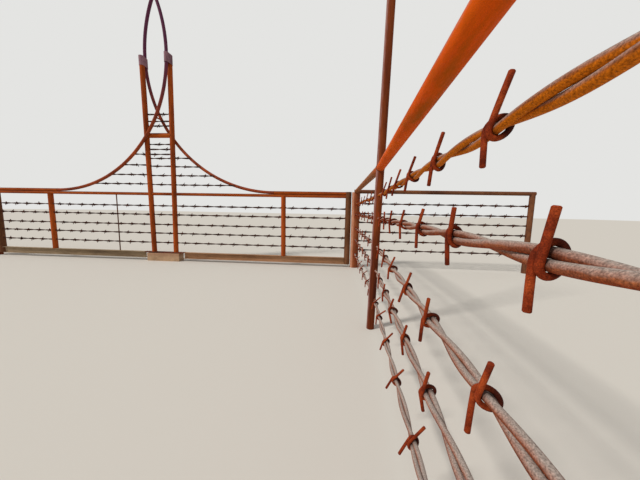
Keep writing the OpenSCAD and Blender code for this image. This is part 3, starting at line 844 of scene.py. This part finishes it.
def arch_span(z):
    x_pipe = ARCH_START - math.sqrt(ARCH_R ** 2 - (ARCH_Z - z) ** 2)
    y_pipe = (ARCH_START - x_pipe) * math.tan(ARCH_TURN)
    x0 = tower_x(z) + POST_R
    y1 = y_pipe - RAIL_R - BAR / 2 - PIPE_GAP
    turn = Matrix.Rotation(math.atan2(y1, x_pipe - x0), 4, "Z")
    return Matrix.Translation((x0, 0, 0)) @ turn, x_pipe - x0


print("lowest span under the right arch", round(arch_span(RIGHT_ARCH_Z[0])[1], 3), "m")

# %% [markdown]
# The left arm's places are mirrored, but its barbs are wound the same way as the right arm's,
# because the same hands wound them all. So each of its spans is drawn from its outer end towards
# the tower, not mirrored, and the spans under its arch are turned by half a turn.

# %% Strands and barbs in the arms and under the arches
for label, arch_z, turn in (("right", RIGHT_ARCH_Z, 0.0), ("left", LEFT_ARCH_Z, math.pi)):
    strands, barbs, arch_strands = BarMesh(), BarMesh(), BarMesh()
    chance = random.Random(label + " arm")
    for z, first in zip(GATE_Z, GATE_FIRST):
        for x0, x1 in ((tower_x(z) + POST_R, MID_POST_X - POST_R),
                       (MID_POST_X + POST_R, ARM - STILE_R)):
            if label == "left":
                x0, x1 = -x1, -x0
            span(strands, barbs, HERE, x0, x1, z, first, chance, upright=STAY_X)
    for z, first in zip(arch_z, GATE_FIRST):
        place, length = arch_span(z)
        place = Matrix.Rotation(turn, 4, "Z") @ place
        span(arch_strands, barbs, place, 0.0, length + PIPE_OVERHANG, z, first, chance,
             length - PIPE_CLEARANCE, upright=length)
    make_piece(strands, label + "_gate_bars", (dark_strand_rust,),
               "gate", "strand_rust", label + "_gate_strands")
    make_piece(arch_strands, label + "_arch_bars", (dark_strand_rust,),
               "gate", "strand_rust", label + "_arch_strands")
    make_piece(barbs, label + "_gate_wound_barbs", (dark_barb_rust,),
               "gate", "barb_rust", label + "_gate_barbs")

# %% [markdown]
# Between the tower posts each short strand has a single barb. Its place is given as a share
# of the gap between the posts, from the left.

# %% Strands and barbs between the tower posts
TOWER_Z = (1.955, 2.180, 2.410, 2.600, 2.700, 2.820, 2.940, 3.380, 3.490, 3.655)
TOWER_SHARES = (0.69, 0.84, 0.73, 0.38, 0.52, 0.49, 0.60, 0.33, 0.53, 0.25,
                0.83, 0.48, 0.50, 0.30, 0.75)
strands, barbs = BarMesh(), BarMesh()
chance = random.Random("tower")
for z, share in zip(GATE_Z + TOWER_Z, TOWER_SHARES):
    inner = tower_x(z) - POST_R
    x = inner * (2 * share - 1)
    twisted_pair(strands, HERE, -inner, inner, z, even_twist(x, 90, GATE_PITCH), GATE_BAR_SIDES)
    gate_barb(barbs, HERE, x, z, chance)
make_piece(strands, "tower_bars", (dark_strand_rust,), "gate", "strand_rust", "tower_strands")
make_piece(barbs, "tower_wound_barbs", (dark_barb_rust,), "gate", "barb_rust", "tower_barbs")

# %% [markdown]
# The panels stand on both sides of the gate, each from a gate post out to the panel's own post.
# They are made with the same span as the gate's arms, because they are of the same bars.

# %% Strands and barbs of the panels
PANEL = 3.988
PANEL_Z = (0.440, 0.660, 0.880, 1.110, 1.325, 1.560)
PANEL_FIRST = (0.090, 0.230, 0.150, 0.290, 0.110, 0.200)
for label in ("right", "left"):
    strands, barbs = BarMesh(), BarMesh()
    chance = random.Random(label + " panel")
    for z, first in zip(PANEL_Z, PANEL_FIRST):
        x0, x1 = GATE_POST_X + GATE_POST_R, GATE_POST_X + PANEL - POST_R
        if label == "left":
            x0, x1 = -x1, -x0
        span(strands, barbs, HERE, x0, x1, z, first, chance)
    make_piece(strands, label + "_panel_bars", (dark_strand_rust,),
               "root", "strand_rust", label + "_panel_strands")
    make_piece(barbs, label + "_panel_wound_barbs", (dark_barb_rust,),
               "root", "barb_rust", label + "_panel_barbs")

# %% [markdown]
# ## Welds
# Every joint of the gate is a stick weld: a lumpy bead 8 to 15 mm wide that follows the cut of
# the pipe. Where a pipe stands on the side of another, the cut is a saddle. Its curve has a simple
# form, because each of its points lies on both pipes: going round the smaller pipe, the height is
# that of the larger one's surface. A boolean could find that curve too, but the formula gives it
# in order, ready to be swept as a bead. The ends of the strands are held by short blobs of weld.

# %% Paths of the welds
X, Z = Vector((1, 0, 0)), Vector((0, 0, 1))


def saddle(foot, axis, other_axis, inner_r, outer_r, start=0, end=360, steps=40):
    axis, other_axis = Vector(axis).normalized(), Vector(other_axis).normalized()
    across = axis.cross(other_axis)
    points = []
    for i in range(steps + 1):
        t = math.radians(start + (end - start) * i / steps)
        side = inner_r * math.cos(t)
        height = math.sqrt(max(outer_r ** 2 - side ** 2, 0.0))
        points.append(Vector(foot) + axis * height + across * side
                      + other_axis * inner_r * math.sin(t))
    return points


def arc(centre, radius, start, end, steps=16):
    turns = [math.radians(start + (end - start) * i / steps) for i in range(steps + 1)]
    return [Vector(centre) + radius * Vector((math.cos(t), math.sin(t), 0)) for t in turns]


def line(a, b, steps=8):
    return [Vector(a).lerp(Vector(b), i / steps) for i in range(steps + 1)]


around = saddle((0, 0, 0), X, Z, RAIL_R, POST_R)
print("a rail's saddle is", round(1000 * (around[10].x - around[0].x), 1), "mm deep")

# %% [markdown]
# A bead of weld swells and shrinks as the rod moves on, and thins out at both ends. A blob is
# a short stack of rings round a strand's end, thickest in the middle.

# %% Beads and blobs of weld
WELD_SIDES = 7
BEAD, WIDE_BEAD, THIN_BEAD = 0.0055, 0.0055 * 1.2, 0.0055 * 0.8
RAGGED, BEAD_END_SHARE, BLOB_RAGGED = (0.85, 1.15), 0.5, (0.9, 1.1)
BLOB_PROFILE, BLOB_STEP = (0.45, 0.95, 1.05, 0.8, 0.4), 0.55
END_BLOB, END_INSET = 0.017, 0.004


def bead(mesh, points, size, chance):
    radii = [size * chance.uniform(*RAGGED) for _ in points]
    radii[0] = radii[-1] = size * BEAD_END_SHARE
    mesh.sweep(points, size, WELD_SIDES, radii=radii)


def blob(mesh, point, size, chance):
    radii = [size * k * chance.uniform(*BLOB_RAGGED) for k in BLOB_PROFILE]
    path = [Vector(point) + Z * size * (k - 1) * BLOB_STEP for k in range(len(BLOB_PROFILE))]
    mesh.sweep(path, size, WELD_SIDES, radii=radii)


def end_blobs(mesh, place, x0, x1, z, chance):
    inset = END_INSET if x1 > x0 else -END_INSET
    for x in (x0 + inset, x1 - inset):
        blob(mesh, place @ Vector((x, 0, z)), END_BLOB, chance)


print("beads are", [round(2000 * size, 1) for size in (THIN_BEAD, BEAD, WIDE_BEAD)], "mm wide")

# %% [markdown]
# On the gate, both rails butt against the end stiles and the lower one against the tower posts
# too. The crossbar sits between those posts. Each kind of place gets a function of its own, and
# they are called for one arm and then for the other.

# %% Welds of the gate's rails
LOW_RAIL_Z = 1.7205
EQUAL_PIPE_PLAY = 0.0001  # keeps the root in saddle() off zero where both pipes are one size


def rail_welds(welds, side, chance):
    for z in (LOW_RAIL_Z, TOP_RAIL_Z):
        bead(welds, saddle((side * ARM, 0, z), -side * X, Z, RAIL_R, STILE_R), BEAD, chance)
    for facing in (-1, 1):
        foot = (side * tower_x(LOW_RAIL_Z), 0, LOW_RAIL_Z)
        bead(welds, saddle(foot, facing * X, Z, RAIL_R, POST_R), BEAD, chance)
    foot = (side * tower_x(CROSSBAR_Z), 0, CROSSBAR_Z)
    bead(welds, saddle(foot, -side * X, Z, POST_R, POST_R + EQUAL_PIPE_PLAY), BEAD, chance)


print("at the crossbar the tower posts stand", round(2 * tower_x(CROSSBAR_Z), 3), "m apart")

# %% [markdown]
# The tower posts are welded all round to the foot plate, and the plate to the beams. A mid post
# is wider than its beam's flange, so its foot is welded along two arcs, and its head is notched
# round the rail, with a straight seam on each side. Each beam butts against its end stile, with
# an arc of weld on its upper flange and one on the lower.

# %% Welds of the gate's posts and beams
BEAM_BOTTOM, BEAM_END_X, FLANGE_HALF, SEAM_OUT = 0.072, 0.53, 0.050, 0.002
SEAM_Y, SEAM_HALF, SEAM_DROP = 0.0345, 0.045, 0.012
MID_POST_ARC, STILE_ARC, RING_STEPS = 60, 46, 40


def post_welds(welds, side, chance):
    foot = (side * FOOT_HALF, 0, BEAM_TOP)
    bead(welds, arc(foot, POST_R + SEAM_OUT, 0, 360, RING_STEPS), WIDE_BEAD, chance)
    x = side * MID_POST_X
    for facing in (0, 180):
        seam = arc((x, 0, BEAM_TOP), POST_R + SEAM_OUT,
                   facing - MID_POST_ARC, facing + MID_POST_ARC)
        bead(welds, seam, WIDE_BEAD, chance)
        y, z = (SEAM_Y if facing else -SEAM_Y), LOW_RAIL_Z - SEAM_DROP
        bead(welds, line((x - SEAM_HALF, y, z), (x + SEAM_HALF, y, z)), BEAD, chance)
    inward = 180 if side > 0 else 0
    for z in (BEAM_BOTTOM, BEAM_TOP):
        seam = arc((side * ARM, 0, z), STILE_R + SEAM_OUT, inward - STILE_ARC, inward + STILE_ARC)
        bead(welds, seam, BEAD, chance)
    x = side * BEAM_END_X
    bead(welds, line((x, -FLANGE_HALF, BEAM_TOP), (x, FLANGE_HALF, BEAM_TOP)), WIDE_BEAD, chance)


print("a mid post's seam is", round(2000 * SEAM_HALF), "mm long")

# %% [markdown]
# Each arch pipe is butted to the end of its upper rail, with a thin ring of weld in the joint.
# The two rails lie on each other and are tacked together every 450 mm, and small blobs hold
# the thin stay.

# %% Welds of the arches and the double rail
RING_OUT = 0.0015
TACK_Z, TACK_Y, TACK, TACK_PITCH, TACK_MARGIN = 1.757, 0.013, 0.05, 0.45, 0.15
STAY_FRONT, STAY_BLOB = 0.012, 0.011


def arch_welds(welds, side, chance):
    turns = [math.radians(360 * i / RING_STEPS) for i in range(RING_STEPS + 1)]
    ring = [Vector((side * (ARCH_START + RING_OUT), RAIL_R * math.cos(t),
                    TOP_RAIL_Z + RAIL_R * math.sin(t))) for t in turns]
    bead(welds, ring, THIN_BEAD, chance)
    x = ARCH_START + TACK_MARGIN
    while x < ARM - TACK_MARGIN:
        for y in (-TACK_Y, TACK_Y):
            tack = line((side * x, y, TACK_Z), (side * (x + TACK), y, TACK_Z), 4)
            bead(welds, tack, BEAD, chance)
        x += TACK_PITCH


welds, chance = BarMesh(), random.Random("gate welds")
for side in (-1, 1):
    rail_welds(welds, side, chance)
    post_welds(welds, side, chance)
    arch_welds(welds, side, chance)
for z in GATE_Z:
    blob(welds, (STAY_X, STAY_FRONT, z), STAY_BLOB, chance)
print("beads of the gate", len(welds.faces), "faces")

# %% [markdown]
# The strands end on the faces of the posts, and each of those places gets its blob of weld.

# %% Welds at the ends of the gate's strands
for z in GATE_Z:
    for side in (-1, 1):
        end_blobs(welds, HERE, side * (tower_x(z) + POST_R), side * (MID_POST_X - POST_R),
                  z, chance)
        end_blobs(welds, HERE, side * (MID_POST_X + POST_R), side * (ARM - STILE_R), z, chance)
for z in GATE_Z + TOWER_Z:
    end_blobs(welds, HERE, -(tower_x(z) - POST_R), tower_x(z) - POST_R, z, chance)
for heights, turn in ((RIGHT_ARCH_Z, 0.0), (LEFT_ARCH_Z, math.pi)):
    for z in heights:
        place, length = arch_span(z)
        place = Matrix.Rotation(turn, 4, "Z") @ place
        end_blobs(welds, place, 0.0, length - END_INSET, z, chance)
make_piece(welds, "gate_welds", (weld_rust,), "gate", "dark_rust")

# %% [markdown]
# On the fence, the wing rails butt against the tall pole, and all four fence rails lie in notches
# in the gate posts. The panel posts and the end post are notched over their rails, with a seam
# on each side.

# %% Welds of the fence
RAIL_Z = 1.845
NOTCH_SEAM_Y, NOTCH_SEAM_DROP, NOTCH_SEAM_HALF = 0.0428, 0.012, 0.037
NOTCH_FROM, NOTCH_TO, NOTCH_STEPS = 207, 333, 16
welds, chance = BarMesh(), random.Random("fence welds")
pole_top = pole_at + Vector((0, 0, RAIL_Z))
for along in (-far_along, near_along):
    seam = saddle(pole_top, along, Z, POLE_R, POLE_R + EQUAL_PIPE_PLAY)
    bead(welds, seam, BEAD, chance)
gate_posts = (((GATE_POST_X, 0, RAIL_Z), X), ((GATE_POST_X, 0, RAIL_Z), far_along),
              ((-GATE_POST_X, 0, RAIL_Z), -X))
for foot, along in gate_posts:
    seam = saddle(foot, along, Z, POLE_R, GATE_POST_R, NOTCH_FROM, NOTCH_TO, NOTCH_STEPS)
    bead(welds, seam, BEAD, chance)
for foot, along in (((GATE_POST_X + PANEL, 0, RAIL_Z), X),
                    ((-GATE_POST_X - PANEL, 0, RAIL_Z), X),
                    (pole_top + WING_BAY * near_along, near_along)):
    for facing in (-1, 1):
        middle = Vector(foot) + facing * NOTCH_SEAM_Y * along.cross(Z) - NOTCH_SEAM_DROP * Z
        seam = line(middle - NOTCH_SEAM_HALF * along, middle + NOTCH_SEAM_HALF * along)
        bead(welds, seam, BEAD, chance)
for z in WING_Z:
    end_blobs(welds, far_bay, GATE_POST_R, WING_BAY - POLE_R, z, chance)
    end_blobs(welds, near_bay, POLE_R, WING_BAY - POST_R, z, chance)
for z in PANEL_Z:
    for side in (-1, 1):
        end_blobs(welds, HERE, side * (GATE_POST_X + GATE_POST_R),
                  side * (GATE_POST_X + PANEL - POST_R), z, chance)
make_piece(welds, "fence_welds", (weld_rust,), "root", "dark_rust")

# %% [markdown]
# ## Floor, background and light
# The object is shown on a plain pale floor under soft light, so that its colours read true.
# The floor reaches past the horizon of the wide lens.

# %% Floor
FLOOR_HALF = 120.0
corners = [(x * FLOOR_HALF, y * FLOOR_HALF, 0) for x, y in ((-1, -1), (1, -1), (1, 1), (-1, 1))]
floor_mesh = bpy.data.meshes.new("floor")
floor_mesh.from_pydata(corners, [], [(0, 1, 2, 3)])
floor_paint = empty_material("pale_floor")
surface = add(floor_paint, "ShaderNodeBsdfDiffuse", {"Color": linear("#d6d1c8"), "Roughness": 0.0})
add(floor_paint, "ShaderNodeOutputMaterial", {"Surface": surface.outputs["BSDF"]})
floor_mesh.materials.append(floor_paint)
floor = bpy.data.objects.new("floor", floor_mesh)
scene.collection.objects.link(floor)
print("floor", round(2 * FLOOR_HALF), "m wide")

# %% [markdown]
# The world lights the object softly from all sides. The pale background colour is seen by the
# camera, in reflections and through glass only, so it adds no light of its own.

# %% World
world = bpy.data.worlds.new("studio_world")
scene.world = world
world.use_nodes = True
world.node_tree.nodes.clear()
ray = add(world, "ShaderNodeLightPath")
seen = add(world, "ShaderNodeMath", {
    0: ray.outputs["Is Camera Ray"], 1: ray.outputs["Is Glossy Ray"]}, operation="MAXIMUM")
seen_too = add(world, "ShaderNodeMath", {
    0: seen.outputs["Value"], 1: ray.outputs["Is Transmission Ray"]}, operation="MAXIMUM")
soft = add(world, "ShaderNodeBackground", {"Color": linear("#ffffff"), "Strength": 0.44})
shown = add(world, "ShaderNodeBackground", {"Color": linear("#e4e4e2"), "Strength": 1.0})
both = add(world, "ShaderNodeMixShader", {
    0: seen_too.outputs["Value"], 1: soft.outputs["Background"], 2: shown.outputs["Background"]})
add(world, "ShaderNodeOutputWorld", {"Surface": both.outputs["Shader"]})
print("world", world.name)

# %% [markdown]
# One wide, slightly warm sun gives the pipes a lit side and a soft shadow on the floor. It stands
# high on the drive side, to the left. An area lamp would fall off along so long a fence.

# %% Sun
SUNBEAM = Vector((0.62, 0.36, -0.70))
sun_data = bpy.data.lights.new("soft_sun", "SUN")
sun_data.energy = 2.3
sun_data.angle = math.radians(8)
sun_data.color = (1.0, 0.97, 0.93)
sun = bpy.data.objects.new("soft_sun", sun_data)
sun.rotation_euler = SUNBEAM.to_track_quat("-Z", "Y").to_euler()
scene.collection.objects.link(sun)
scene.view_settings.view_transform = "Standard"
print("sun energy", round(sun_data.energy, 2))
